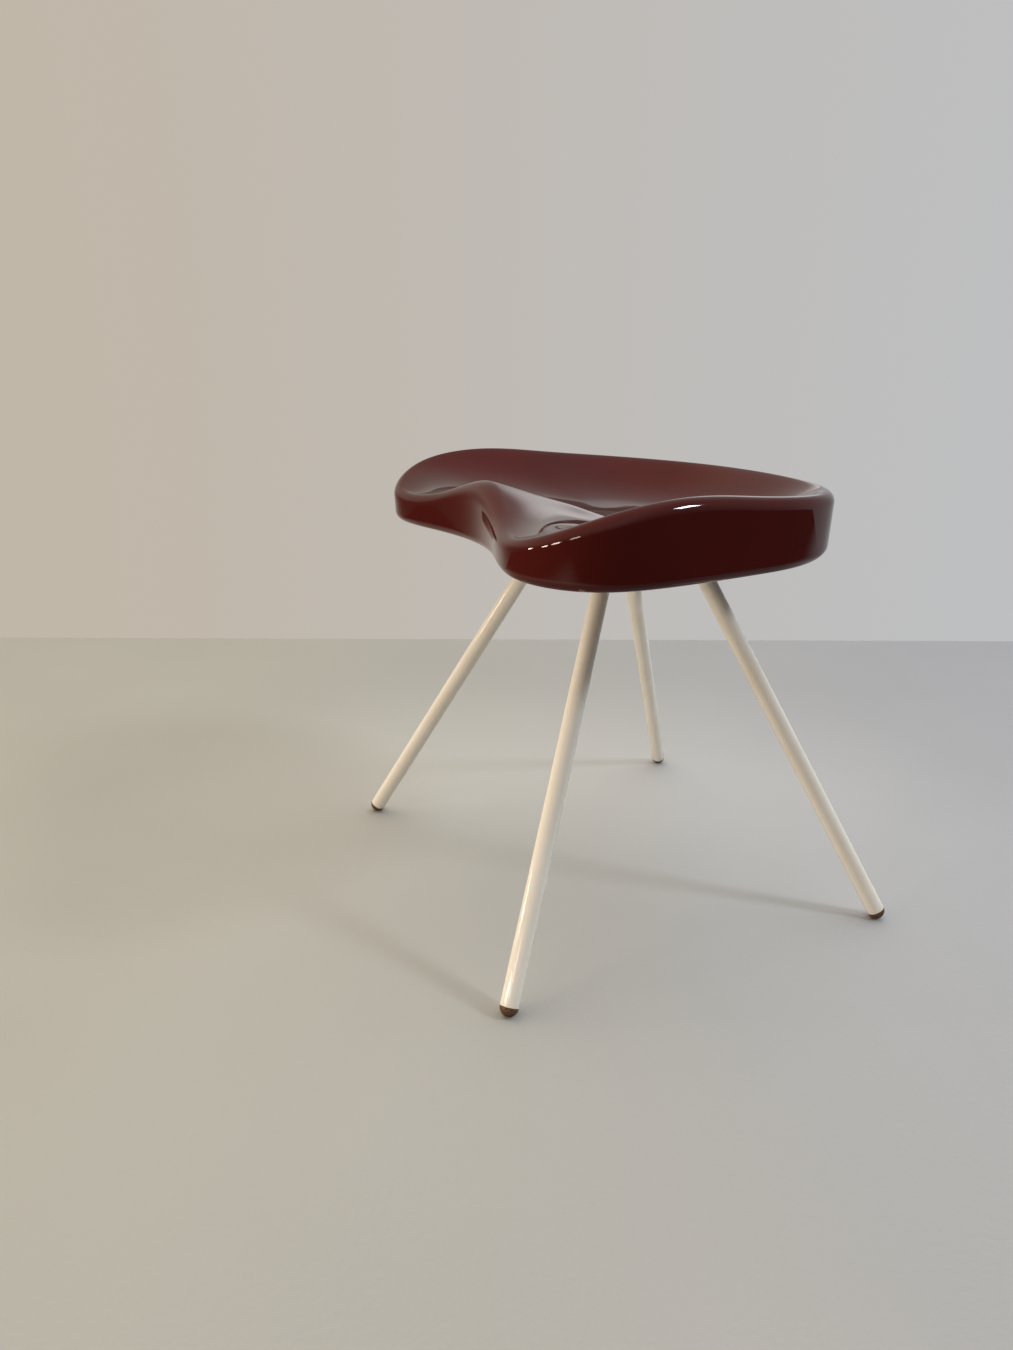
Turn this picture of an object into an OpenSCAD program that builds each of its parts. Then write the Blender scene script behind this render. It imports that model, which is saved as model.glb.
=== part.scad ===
// Four-legged stool with a moulded saddle seat, welded tube legs and turned wooden feet.
// Millimetres. The origin is on the floor at the centre of the four feet, +Z is up, and the
// scalloped front of the seat with its pommel faces -Y, so +X is on the sitter's left.

/* [Seat plan] */
// Width across the hips, near the widest part of the seat
hip_w = 474; // [440:2:500]
// Width across the shoulders, just behind the front lobes
shoulder_w = 462; // [440:2:480]
// Width across the flanks, halfway back
flank_w = 446; // [420:2:470]
// Width across the back quarters
quarter_w = 396; // [370:2:420]
// Width between the two back corners
corner_w = 246; // [210:2:270]
// Distance between the tips of the two front lobes
lobe_spread = 332; // [310:2:350]
// Distance between the two thigh troughs, where they leave the pommel
trough_spread = 164; // [140:2:190]
// Reach of the front lobes ahead of the centre
lobe_reach = 193; // [180:1:205]
// Depth of the scallop between the lobes, at the pommel
scallop_depth = 28; // [14:1:36]
// Depth of the scallop at the thigh troughs
trough_depth = 16; // [8:1:22]
// Distance of the shoulders ahead of the centre
shoulder_reach = 151; // [140:1:160]
// Distance of the hips ahead of the centre
hip_reach = 68; // [55:1:80]
// Distance of the flanks behind the centre
flank_reach = 15; // [5:1:25]
// Distance of the back quarters behind the centre
quarter_reach = 94; // [84:1:104]
// Distance of the back corners behind the centre
corner_reach = 168; // [158:1:176]
// Reach of the back edge behind the centre
back_reach = 191; // [182:1:200]

/* [Seat heights above the floor] */
// Top of the rim at the pommel
pommel_rim = 446; // [438:1:452]
// Top of the rim at the thigh troughs
trough_rim = 426; // [420:1:434]
// Top of the rim at the tips of the front lobes
lobe_rim = 420; // [414:1:430]
// Top of the rim at the shoulders
shoulder_rim = 442; // [434:1:450]
// Top of the rim at the hips, the highest part
hip_rim = 456; // [446:1:466]
// Top of the rim at the flanks
flank_rim = 452; // [442:1:462]
// Top of the rim at the back quarters
quarter_rim = 447; // [437:1:457]
// Top of the rim along the back
back_rim = 444; // [434:1:454]
// Lowest point of the dish
dish_floor = 401; // [400:1:403]
// Lower edge of the skirt
skirt_edge = 384; // [376:1:388]

/* [Seat shell] */
// Thickness of the moulded wall
shell_wall = 4; // [3:0.5:6]
// Rounding of the rim
rim_r = 11; // [8:0.5:14]
// Rounding of the rim over the pommel
pommel_r = 19; // [12:0.5:22]
// Half width of the pommel
pommel_half = 75; // [55:1:95]
// Rounding of the skirt's lower edge
skirt_r = 10; // [8:0.5:13]
// Width of the flange turned in under the skirt
flange_w = 5; // [3:0.5:10]
// How far the skirt leans in towards its lower edge
skirt_draft = 1; // [0:0.5:3]
// Distance of the dish's lowest point behind the centre
dish_back = 42; // [34:1:48]
// How gently the dish leaves the rim: at 1 it breaks off at once, above 1 it rounds over first
dish_start = 1.35; // [1.25:0.05:1.6]
// Steepness of the dish's walls: a higher value makes them steeper and the floor flatter
dish_steepness = 4; // [3:0.1:4.4]
// The same at the front, down the thigh troughs
trough_steepness = 3; // [2.4:0.1:3.6]
// The same along the ridge that runs back from the pommel
ridge_steepness = 1.75; // [1.6:0.05:2.4]
// Half width of that ridge
ridge_half = 46; // [40:1:60]
// How far the rim's ups and downs reach into the dish, as a share of the way to its centre
rim_reach = 0.26; // [0.2:0.01:0.4]

/* [Backing block] */
// Thickness of the block under the dish's lowest point
block_t = 9; // [9:0.5:11]
// Size of the block, as its share of the way from the dish's centre to the rim
block_share = 0.52; // [0.50:0.01:0.56]
// How much larger that share is at the front, and smaller at the back
block_lean = 0.1; // [0.06:0.01:0.14]
// Glue line between the block and the shell
glue_gap = 0.2; // [0.1:0.1:0.5]

/* [Leg plate] */
// Width of the plate that carries the legs
plate_w = 174; // [164:2:184]
// Depth of the plate, front to back
plate_d = 126; // [122:2:130]
// Thickness of the plate
plate_t = 4; // [3:0.5:6]
// Corner radius of the plate
plate_corner_r = 16; // [8:1:24]
// Distance between the bolts, side to side
bolt_spread_x = 64; // [50:2:76]
// Distance between the bolts, front to back
bolt_spread_y = 92; // [70:2:96]
// Clearance hole for each bolt
bolt_hole_d = 6.6; // [6.4:0.1:7]

/* [Bolts and inserts] */
// Diameter of the bolt's shank
bolt_d = 6; // [5:0.5:6]
// Length of the bolt's shank
bolt_len = 12; // [11:0.5:13]
// Diameter of the bolt's button head
bolt_head_d = 10.5; // [9:0.5:12]
// Height of the bolt's head
bolt_head_h = 3.3; // [3:0.1:4]
// Socket in the head, across the flats
hex_af = 4; // [3:0.5:5]
// Depth of the socket
hex_depth = 2.2; // [1:0.1:2.5]
// Outer diameter of the washer
washer_d = 12; // [11:0.5:14]
// Thickness of the washer
washer_t = 1.6; // [1:0.1:2]
// Outer diameter of the threaded insert
insert_d = 9; // [8:0.5:10]
// Length of the threaded insert
insert_len = 8; // [7.5:0.5:8.5]

/* [Legs] */
// Outer diameter of the leg tube
tube_d = 18; // [16:0.5:20]
// Wall of the leg tube
tube_wall = 1.5; // [1:0.1:2.5]
// Distance between the feet, side to side
feet_x = 438; // [400:2:460]
// Distance between the feet, front to back
feet_y = 423; // [390:1:440]
// Distance between the legs where they meet the plate, side to side
legs_top_x = 130; // [120:1:136]
// Distance between the legs where they meet the plate, front to back
legs_top_y = 90; // [84:1:94]
// Chamfer round the tube's lower end
tube_chamfer = 0.6; // [0.2:0.1:1]

/* [Feet] */
// Depth of the flat that each foot stands on
foot_flat = 0.5; // [0.3:0.1:1]
// How far the foot's edge stands back inside the tube's outer face
foot_setback = 0.2; // [0:0.1:0.6]
// Length of the spigot glued into the tube
spigot_len = 18; // [10:1:30]
// Clearance round the spigot
spigot_gap = 0.1; // [0.05:0.05:0.3]

/* [Hidden] */

// Fineness of the moulded surfaces: steps between two stations, in a rounded edge, down the dish
edge_steps = 5;
round_steps = 3;
dish_steps = 11;
round_fn = 64;
relax_steps = 24;
big = 600;
cut = 1;

// Play between the parts that are bolted or screwed together
thread_gap = 0.05;
washer_gap = 0.2;

// Heights worked out from the dish down to the legs
plate_top = dish_floor - shell_wall - glue_gap - block_t;
plate_under = plate_top - plate_t;
washer_under = plate_under - washer_t;
foot_r = tube_d / 2 - foot_setback;
foot_z = foot_r - foot_flat;

// Stations along the rim from the front round the left side to the back: [x, y, height of the rim]
half_rim = [
    [0, scallop_depth - lobe_reach, pommel_rim],
    [trough_spread / 2, trough_depth - lobe_reach, trough_rim],
    [lobe_spread / 2, -lobe_reach, lobe_rim],
    [shoulder_w / 2, -shoulder_reach, shoulder_rim],
    [hip_w / 2, -hip_reach, hip_rim],
    [flank_w / 2, flank_reach, flank_rim],
    [quarter_w / 2, quarter_reach, quarter_rim],
    [corner_w / 2, corner_reach, back_rim],
    [0, back_reach, back_rim]
];
half_n = len(half_rim) - 1;
rim_stations = [
    for (i = [0 : 2 * half_n - 1])
        i <= half_n ? half_rim[i] : let (p = half_rim[2 * half_n - i]) [-p[0], p[1], p[2]]
];
station_n = len(rim_stations);
ring_n = station_n * edge_steps;

// A closed smooth curve through the stations: its control points are relaxed until it meets them
function relaxed(goal, p, rounds) =
    rounds < 1 ? p : relaxed(goal, [
        for (i = [0 : len(goal) - 1])
            (6 * goal[i] - p[(i + len(goal) - 1) % len(goal)] - p[(i + 1) % len(goal)]) / 4
    ], rounds - 1);
rim_controls = relaxed(rim_stations, rim_stations, relax_steps);

function blend(i, w) =
    w[0] * rim_controls[(i + station_n - 1) % station_n] + w[1] * rim_controls[i]
    + w[2] * rim_controls[(i + 1) % station_n] + w[3] * rim_controls[(i + 2) % station_n];
function place_weights(f) = [
    pow(1 - f, 3) / 6,
    (3 * pow(f, 3) - 6 * pow(f, 2) + 4) / 6,
    (-3 * pow(f, 3) + 3 * pow(f, 2) + 3 * f + 1) / 6,
    pow(f, 3) / 6
];
function slope_weights(f) = [
    -pow(1 - f, 2) / 2,
    (3 * pow(f, 2) - 4 * f) / 2,
    (-3 * pow(f, 2) + 2 * f + 1) / 2,
    pow(f, 2) / 2
];
rim_line = [
    for (i = [0 : station_n - 1])
        for (k = [0 : edge_steps - 1]) blend(i, place_weights(k / edge_steps))
];
rim_out = [
    for (i = [0 : station_n - 1])
        for (k = [0 : edge_steps - 1])
            let (t = blend(i, slope_weights(k / edge_steps))) [t[1], -t[0]] / norm([t[0], t[1]])
];

// Rounding of the rim, larger over the pommel
function rim_round(p) =
    rim_r + (pommel_r - rim_r) * exp(-pow(p[0] / pommel_half, 2)) * (p[1] < 0 ? 1 : 0);

// Points of the skirt and rim at one place on the seat's edge, as [distance in, height].
// inner is 0 on the outer face and the wall's thickness on the inner face.
function skirt_profile(p, inner) =
    let (r = rim_round(p), low = skirt_r - inner, high = r - inner, foot_in = skirt_draft + skirt_r)
    concat(
        [[foot_in + flange_w, skirt_edge + inner]],
        [for (k = [0 : round_steps]) let (a = 90 * k / round_steps)
            [foot_in - low * sin(a), skirt_edge + skirt_r - low * cos(a)]],
        [for (k = [0 : round_steps]) let (a = 90 * k / round_steps)
            [r - high * cos(a), p[2] - r + high * sin(a)]]
    );

// Points down the dish from the rim's crest; share runs from 0 at the crest to 1 at the centre.
// The rim's own ups and downs fade out sooner than the bowl, so the dish's floor is smooth.
dish_centre = [0, dish_back];
rim_level = sum([for (p = rim_stations) p[2]]) / station_n;
function sum(list, i = 0) = i == len(list) ? 0 : list[i] + sum(list, i + 1);
function crest(i) = let (p = rim_line[i], r = rim_round(p)) [p[0], p[1]] - r * rim_out[i];
function mixed(a, b, share) = a + (b - a) * share;
function eased(low, high, value) =
    let (t = min(max((value - low) / (high - low), 0), 1)) t * t * (3 - 2 * t);
function steepness(p) =
    mixed(
        mixed(dish_steepness, trough_steepness, eased(20, 140, -p[1])),
        ridge_steepness,
        exp(-pow(p[0] / ridge_half, 2)) * (p[1] < 0 ? 1 : 0)
    );
function dish_point(i, share, drop) =
    let (
        c = crest(i),
        bowl = pow(1 - pow(share, dish_start), steepness(rim_line[i])),
        fade = (1 - share) / (1 + pow(share / rim_reach, dish_start)),
        local_rim = rim_level + (rim_line[i][2] - rim_level) * fade,
        q = c + share * (dish_centre - c)
    )
    [q[0], q[1], dish_floor + (local_rim - dish_floor) * bowl - drop];
function dish_share(k) = pow(k / dish_steps, 1.4);

// One face of the shell, as rings from the flange over the rim to the last ring of the dish
function shell_rings(inner) =
    let (profiles = [for (i = [0 : ring_n - 1]) skirt_profile(rim_line[i], inner)])
    concat(
        [for (j = [0 : len(profiles[0]) - 1]) [
            for (i = [0 : ring_n - 1])
                let (q = [rim_line[i][0], rim_line[i][1]] - profiles[i][j][0] * rim_out[i])
                [q[0], q[1], profiles[i][j][1]]
        ]],
        [for (k = [1 : dish_steps - 1]) [
            for (i = [0 : ring_n - 1]) dish_point(i, dish_share(k), inner)
        ]]
    );

function reversed(list) = [for (i = [len(list) - 1 : -1 : 0]) list[i]];

// A closed solid between rings, with a tip at its first and last end. The rings run
// anticlockwise seen from above, and go out, over the top and in again.
module ringed_solid(first_tip, rings, last_tip) {
    n = len(rings[0]);
    rows = len(rings);
    points = concat([first_tip], [for (r = rings) each r], [last_tip]);
    last = len(points) - 1;
    function at(row, i) = 1 + row * n + i % n;
    polyhedron(points, concat(
        [for (i = [0 : n - 1]) [0, at(0, i), at(0, i + 1)]],
        [for (row = [0 : rows - 2]) for (i = [0 : n - 1]) each [
            [at(row, i), at(row + 1, i), at(row, i + 1)],
            [at(row, i + 1), at(row + 1, i), at(row + 1, i + 1)]
        ]],
        [for (i = [0 : n - 1]) [last, at(rows - 1, i + 1), at(rows - 1, i)]]
    ), convexity = 8);
}

// The four corners of a rectangle centred on the origin
module at_corners(dx, dy) {
    for (sx = [-1, 1], sy = [-1, 1]) translate([sx * dx / 2, sy * dy / 2, 0]) children();
}

// Moulded seat: dished top, skirt and in-turned flange in one wall
module seat_shell() {
    color([0.30, 0.09, 0.08])
        ringed_solid(
            [0, dish_back, dish_floor - shell_wall],
            concat(reversed(shell_rings(shell_wall)), shell_rings(0)),
            [0, dish_back, dish_floor]
        );
}

// The block's edge on one spoke, as its share of the way from the dish's centre to the rim
function block_edge(i) = block_share - block_lean * crest(i)[1] / back_reach;

// Block glued under the dish, flat below and fitted to the dish above
module backing_block() {
    drop = shell_wall + glue_gap;
    top_rings = [for (k = [0 : 5]) [
        for (i = [0 : ring_n - 1]) dish_point(i, 1 - block_edge(i) * (1 - k / 6), drop)
    ]];
    base_ring = [for (p = top_rings[0]) [p[0], p[1], plate_top]];
    color([0.72, 0.55, 0.36])
        difference() {
            ringed_solid(
                [0, dish_back, plate_top],
                concat([base_ring], top_rings),
                [0, dish_back, dish_floor - drop]
            );
            at_corners(bolt_spread_x, bolt_spread_y)
                translate([0, 0, plate_top - cut])
                    cylinder(d = insert_d + 2 * thread_gap, h = insert_len + thread_gap + cut, $fn = round_fn);
        }
}

// Threaded inserts set in the block, one for each bolt
module threaded_inserts() {
    color([0.78, 0.65, 0.35])
        at_corners(bolt_spread_x, bolt_spread_y)
            translate([0, 0, plate_top])
                difference() {
                    cylinder(d = insert_d, h = insert_len, $fn = round_fn);
                    translate([0, 0, -cut])
                        cylinder(d = bolt_d + 2 * thread_gap, h = insert_len + 2 * cut, $fn = round_fn);
                }
}

// Steel plate that the four legs are welded to
module leg_plate() {
    inner_w = plate_w - 2 * plate_corner_r;
    inner_d = plate_d - 2 * plate_corner_r;
    color([0.86, 0.83, 0.74])
        translate([0, 0, plate_under])
            difference() {
                union() {
                    translate([-plate_w / 2, -inner_d / 2, 0]) cube([plate_w, inner_d, plate_t]);
                    translate([-inner_w / 2, -plate_d / 2, 0]) cube([inner_w, plate_d, plate_t]);
                    at_corners(inner_w, inner_d) cylinder(r = plate_corner_r, h = plate_t, $fn = round_fn);
                }
                at_corners(bolt_spread_x, bolt_spread_y)
                    translate([0, 0, -cut]) cylinder(d = bolt_hole_d, h = plate_t + 2 * cut, $fn = round_fn);
            }
}

// Flat washers under the bolt heads
module plate_washers() {
    color([0.75, 0.75, 0.77])
        at_corners(bolt_spread_x, bolt_spread_y)
            translate([0, 0, washer_under])
                difference() {
                    cylinder(d = washer_d, h = washer_t, $fn = round_fn);
                    translate([0, 0, -cut])
                        cylinder(d = bolt_d + 2 * washer_gap, h = washer_t + 2 * cut, $fn = round_fn);
                }
}

// Button-head bolts through the washers and the plate into the inserts
module plate_bolts() {
    color([0.70, 0.70, 0.72])
        at_corners(bolt_spread_x, bolt_spread_y)
            translate([0, 0, washer_under])
                difference() {
                    union() {
                        cylinder(d = bolt_d, h = bolt_len, $fn = round_fn);
                        translate([0, 0, -bolt_head_h])
                            cylinder(d1 = bolt_head_d * 0.6, d2 = bolt_head_d, h = bolt_head_h, $fn = round_fn);
                    }
                    translate([0, 0, -bolt_head_h - cut])
                        cylinder(d = hex_af / cos(30), h = hex_depth + cut, $fn = 6);
                }
}

// Puts its children on the foot end of a leg, with +Z along the leg towards the plate
module on_leg(sx, sy) {
    foot = [sx * feet_x / 2, sy * feet_y / 2, foot_z];
    top = [sx * legs_top_x / 2, sy * legs_top_y / 2, plate_under];
    run = top - foot;
    translate(foot) rotate([0, acos(run[2] / norm(run)), atan2(run[1], run[0])]) children();
}

// Straight tube leg, cut flush where it is welded under the plate. The tube is turned a quarter
// round its own axis, so its seam is not where the oblique cut turns back.
module leg(sx, sy) {
    reach = norm([(feet_x - legs_top_x) / 2, (feet_y - legs_top_y) / 2, plate_under - foot_z]) + tube_d;
    color([0.90, 0.86, 0.76])
        difference() {
            on_leg(sx, sy) rotate([0, 0, 90])
                difference() {
                    union() {
                        translate([0, 0, tube_chamfer]) cylinder(d = tube_d, h = reach, $fn = round_fn);
                        cylinder(
                            d1 = tube_d - 2 * tube_chamfer, d2 = tube_d, h = tube_chamfer, $fn = round_fn
                        );
                    }
                    translate([0, 0, -cut])
                        cylinder(d = tube_d - 2 * tube_wall, h = reach + 3 * cut, $fn = round_fn);
                }
            translate([-big / 2, -big / 2, plate_under]) cube([big, big, big]);
        }
}

// Turned wooden foot: a half ball under the tube's end and a spigot inside it
module foot(sx, sy) {
    color([0.42, 0.26, 0.15])
        difference() {
            on_leg(sx, sy) {
                intersection() {
                    sphere(r = foot_r, $fn = round_fn);
                    translate([-foot_r - cut, -foot_r - cut, -foot_r - cut])
                        cube([2 * (foot_r + cut), 2 * (foot_r + cut), foot_r + cut]);
                }
                cylinder(d = tube_d - 2 * tube_wall - 2 * spigot_gap, h = spigot_len, $fn = round_fn);
            }
            translate([-big / 2, -big / 2, -big]) cube([big, big, big]);
        }
}

seat_shell();
backing_block();
threaded_inserts();
leg_plate();
plate_washers();
plate_bolts();
leg(1, -1);  // leg_front_left
leg(-1, -1);  // leg_front_right
leg(1, 1);  // leg_back_left
leg(-1, 1);  // leg_back_right
foot(1, -1);  // foot_front_left
foot(-1, -1);  // foot_front_right
foot(1, 1);  // foot_back_left
foot(-1, 1);  // foot_back_right
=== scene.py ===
"""Saddle-seat stool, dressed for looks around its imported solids. Metres, +Z up, the front faces -Y."""

import math
from functools import reduce

import bpy
import numpy as np
from mathutils import Matrix, Vector
from mathutils.geometry import delaunay_2d_cdt


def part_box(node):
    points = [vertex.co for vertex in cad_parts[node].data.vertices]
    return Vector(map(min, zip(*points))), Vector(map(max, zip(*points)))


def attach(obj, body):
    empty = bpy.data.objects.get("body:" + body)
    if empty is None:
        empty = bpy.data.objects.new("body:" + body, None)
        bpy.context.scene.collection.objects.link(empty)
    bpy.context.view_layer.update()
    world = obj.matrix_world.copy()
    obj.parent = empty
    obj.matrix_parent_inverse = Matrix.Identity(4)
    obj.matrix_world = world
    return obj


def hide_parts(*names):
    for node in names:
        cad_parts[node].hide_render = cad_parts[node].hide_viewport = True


bl_info = {
    "name": "Saddle Stool",
    "version": (1, 0, 0),
    "blender": (4, 5, 0),
    "location": "3D View > Sidebar > Stool",
    "description": "Moulded saddle seat, tube legs, turned feet and a plain studio round them",
    "category": "Object",
}

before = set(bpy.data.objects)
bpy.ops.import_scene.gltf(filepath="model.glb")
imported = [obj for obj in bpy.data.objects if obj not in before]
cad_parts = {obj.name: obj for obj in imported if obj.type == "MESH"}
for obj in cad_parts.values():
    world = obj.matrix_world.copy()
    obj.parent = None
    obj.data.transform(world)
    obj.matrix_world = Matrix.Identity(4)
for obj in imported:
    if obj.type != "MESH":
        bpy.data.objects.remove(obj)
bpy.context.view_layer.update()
PLATE_LOW, PLATE_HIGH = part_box("leg_plate")
SKIRT_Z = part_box("seat_shell")[0].z
WASHER_LOW, WASHER_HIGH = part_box("plate_washers")
BODY = "root"
SIDES = {
    "front_left": (1, -1),
    "front_right": (-1, -1),
    "back_left": (1, 1),
    "back_right": (-1, 1),
}


# Values a user may change


def length(name, about, size):
    """A size in metres."""
    return bpy.props.FloatProperty(
        name=name, description=about, default=size, min=0.0, unit="LENGTH", precision=4
    )


def share(name, about, amount, most=1.0):
    """A plain number from 0 up."""
    return bpy.props.FloatProperty(
        name=name, description=about, default=amount, min=0.0, max=most, subtype="FACTOR"
    )


def linear(red, green, blue):
    """A colour written as 0 to 255 on a screen, in the linear form that the renderer uses."""

    def one(value):
        value = value / 255
        return value / 12.92 if value <= 0.04045 else ((value + 0.055) / 1.055) ** 2.4

    return one(red), one(green), one(blue)


def tint(name, about, colour):
    """A colour in linear form."""
    return bpy.props.FloatVectorProperty(
        name=name, description=about, default=colour, size=3, min=0.0, max=1.0, subtype="COLOR"
    )


class StoolSeatSizes(bpy.types.PropertyGroup):
    """Sizes of the moulded seat."""

    hip_w: length("Hip width", "Width of the seat across the hips", 0.474)
    shoulder_w: length("Shoulder width", "Width just behind the front lobes", 0.462)
    flank_w: length("Flank width", "Width halfway back", 0.446)
    quarter_w: length("Quarter width", "Width across the back quarters", 0.396)
    corner_w: length("Corner width", "Width between the back corners", 0.246)
    lobe_spread: length("Lobe spread", "Distance between the tips of the front lobes", 0.332)
    trough_spread: length("Trough spread", "Distance between the thigh troughs", 0.164)
    lobe_reach: length("Lobe reach", "Reach of the front lobes ahead of the centre", 0.193)
    scallop: length("Scallop", "Depth of the front scallop at the pommel", 0.028)
    trough: length("Trough depth", "Depth of the scallop at the troughs", 0.016)
    shoulder_y: length("Shoulder place", "Shoulders ahead of the centre", 0.151)
    hip_y: length("Hip place", "Hips ahead of the centre", 0.068)
    flank_y: length("Flank place", "Flanks behind the centre", 0.015)
    quarter_y: length("Quarter place", "Back quarters behind the centre", 0.094)
    corner_y: length("Corner place", "Back corners behind the centre", 0.168)
    back_y: length("Back place", "Back edge behind the centre", 0.191)
    pommel_z: length("Pommel height", "Top of the rim at the pommel", 0.446)
    trough_z: length("Trough height", "Top of the rim at the troughs", 0.426)
    lobe_z: length("Lobe height", "Top of the rim at the lobes", 0.420)
    shoulder_z: length("Shoulder height", "Top of the rim at the shoulders", 0.442)
    hip_z: length("Hip height", "Top of the rim at the hips", 0.456)
    flank_z: length("Flank height", "Top of the rim at the flanks", 0.452)
    quarter_z: length("Quarter height", "Top of the rim at the back quarters", 0.447)
    back_z: length("Back height", "Top of the rim along the back", 0.444)
    floor_z: length("Dish floor", "Lowest point of the dish", 0.401)
    wall: length("Wall", "Thickness of the moulded wall", 0.004)
    rim_r: length("Rim rounding", "Rounding of the rim", 0.011)
    pommel_r: length("Pommel rounding", "Rounding of the rim over the pommel", 0.019)
    pommel_half: length("Pommel half width", "Half width of the pommel", 0.075)
    skirt_r: length("Skirt rounding", "Rounding of the skirt's lower edge", 0.010)
    flange: length("Flange", "Width of the flange turned in under the skirt", 0.005)
    draft: length("Draft", "Lean of the skirt towards its lower edge", 0.001)
    dish_y: length("Dish place", "Lowest point of the dish behind the centre", 0.042)
    dish_start: share("Dish start", "How gently the dish leaves the rim, from 1 up", 1.35, 3.0)
    steepness: share("Steepness", "How steep the dish's walls and how flat its floor are", 4.0, 6.0)
    troughs: share("Trough steepness", "The same down the thigh troughs", 3.0, 6.0)
    ridge: share("Ridge steepness", "The same along the ridge behind the pommel", 1.75, 6.0)
    ridge_half: length("Ridge half width", "Half width of the ridge behind the pommel", 0.046)
    rim_reach: share("Rim reach", "How far the rim's ups and downs reach into the dish", 0.26)
    block_share: share("Block share", "Size of the block as a share of the dish", 0.52)
    block_lean: share("Block lean", "How much larger that share is at the front", 0.10)
    glue: length("Glue line", "Gap between the block and the shell", 0.0002)


class StoolLegSizes(bpy.types.PropertyGroup):
    """Sizes of the legs, their plate and the feet."""

    tube_d: length("Tube", "Outer diameter of the leg tube", 0.018)
    wall: length("Tube wall", "Wall of the leg tube", 0.0015)
    feet_x: length("Feet across", "Distance between the feet, side to side", 0.438)
    feet_y: length("Feet along", "Distance between the feet, front to back", 0.423)
    top_x: length("Tops across", "Distance between the leg tops, side to side", 0.130)
    top_y: length("Tops along", "Distance between the leg tops, front to back", 0.090)
    lip: length("Tube lip", "Rounding of the tube's lower end", 0.0007)
    weld: length("Weld", "Leg of the weld round each tube", 0.0036)
    foot_flat: length("Foot flat", "Depth of the flat under each foot", 0.0005)
    setback: length("Foot setback", "Foot's edge inside the tube's outer face", 0.0002)
    spigot: length("Spigot", "Length of the spigot in the tube", 0.018)
    joint: length("Joint line", "Gap between the foot's shoulder and the tube", 0.0005)
    plate_corner: length("Plate corner", "Corner radius of the plate", 0.016)
    plate_edge: length("Plate edge", "Rounding of the plate's edges", 0.0008)
    hole: length("Bolt hole", "Clearance hole in the plate", 0.0066)
    bolt_x: length("Bolts across", "Distance between the bolts, side to side", 0.064)
    bolt_y: length("Bolts along", "Distance between the bolts, front to back", 0.092)
    shank: length("Shank", "Diameter of the bolt", 0.006)
    shank_len: length("Shank length", "Length of the bolt's shank", 0.012)
    head: length("Head", "Diameter of the bolt's button head", 0.0105)
    head_h: length("Head height", "Height of the bolt's head", 0.0033)
    hexagon: length("Hexagon", "Socket in the head, across the flats", 0.004)
    hexagon_h: length("Hexagon depth", "Depth of the socket", 0.0022)
    washer: length("Washer", "Diameter of the washer", 0.012)
    washer_hole: length("Washer hole", "Hole in the washer", 0.0064)


class StoolColours(bpy.types.PropertyGroup):
    """Colours of the stool and its studio."""

    gelcoat: tint("Gelcoat", "Moulded seat", (0.078, 0.0100, 0.0082))
    laminate: tint("Laminate", "Bare laminate inside the seat", linear(86, 48, 38))
    strand: tint("Strands", "Glass strands in the laminate", linear(122, 84, 66))
    enamel: tint("Enamel", "Paint on the legs and the plate", linear(242, 237, 226))
    enamel_worn: tint("Worn enamel", "Rubbed paint", linear(196, 178, 152))
    wood: tint("Wood", "Turned feet", linear(116, 82, 55))
    wood_dark: tint("Dark grain", "Grain of the turned feet", linear(62, 40, 25))
    veneer: tint("Veneer", "Face of the block", linear(198, 160, 112))
    veneer_dark: tint("Dark veneer", "Grain and cross plies of the block", linear(140, 98, 60))
    zinc: tint("Zinc", "Bolts and washers", linear(186, 188, 190))
    brass: tint("Brass", "Threaded inserts", linear(196, 162, 92))
    # painted light: the floor and the backdrop are tinted warm on the left and cool on the right, after
    # the warm lamps and the cool window; the backdrop's two tints also colour the world's light
    floor: tint("Floor", "Studio floor", linear(157, 155, 145))
    floor_cool: tint("Cool floor", "Studio floor on the cool side", linear(147, 150, 156))
    wall_warm: tint("Warm wall", "Backdrop on the warm side", linear(193, 182, 167))
    wall_cool: tint("Cool wall", "Backdrop on the cool side", linear(190, 191, 193))
    lamp_warm: tint("Warm lamp", "Low lamps on the left", (1.0, 0.84, 0.68))
    lamp_cool: tint("Cool lamp", "Window on the right", (0.86, 0.93, 1.0))


# Shader graphs


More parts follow.
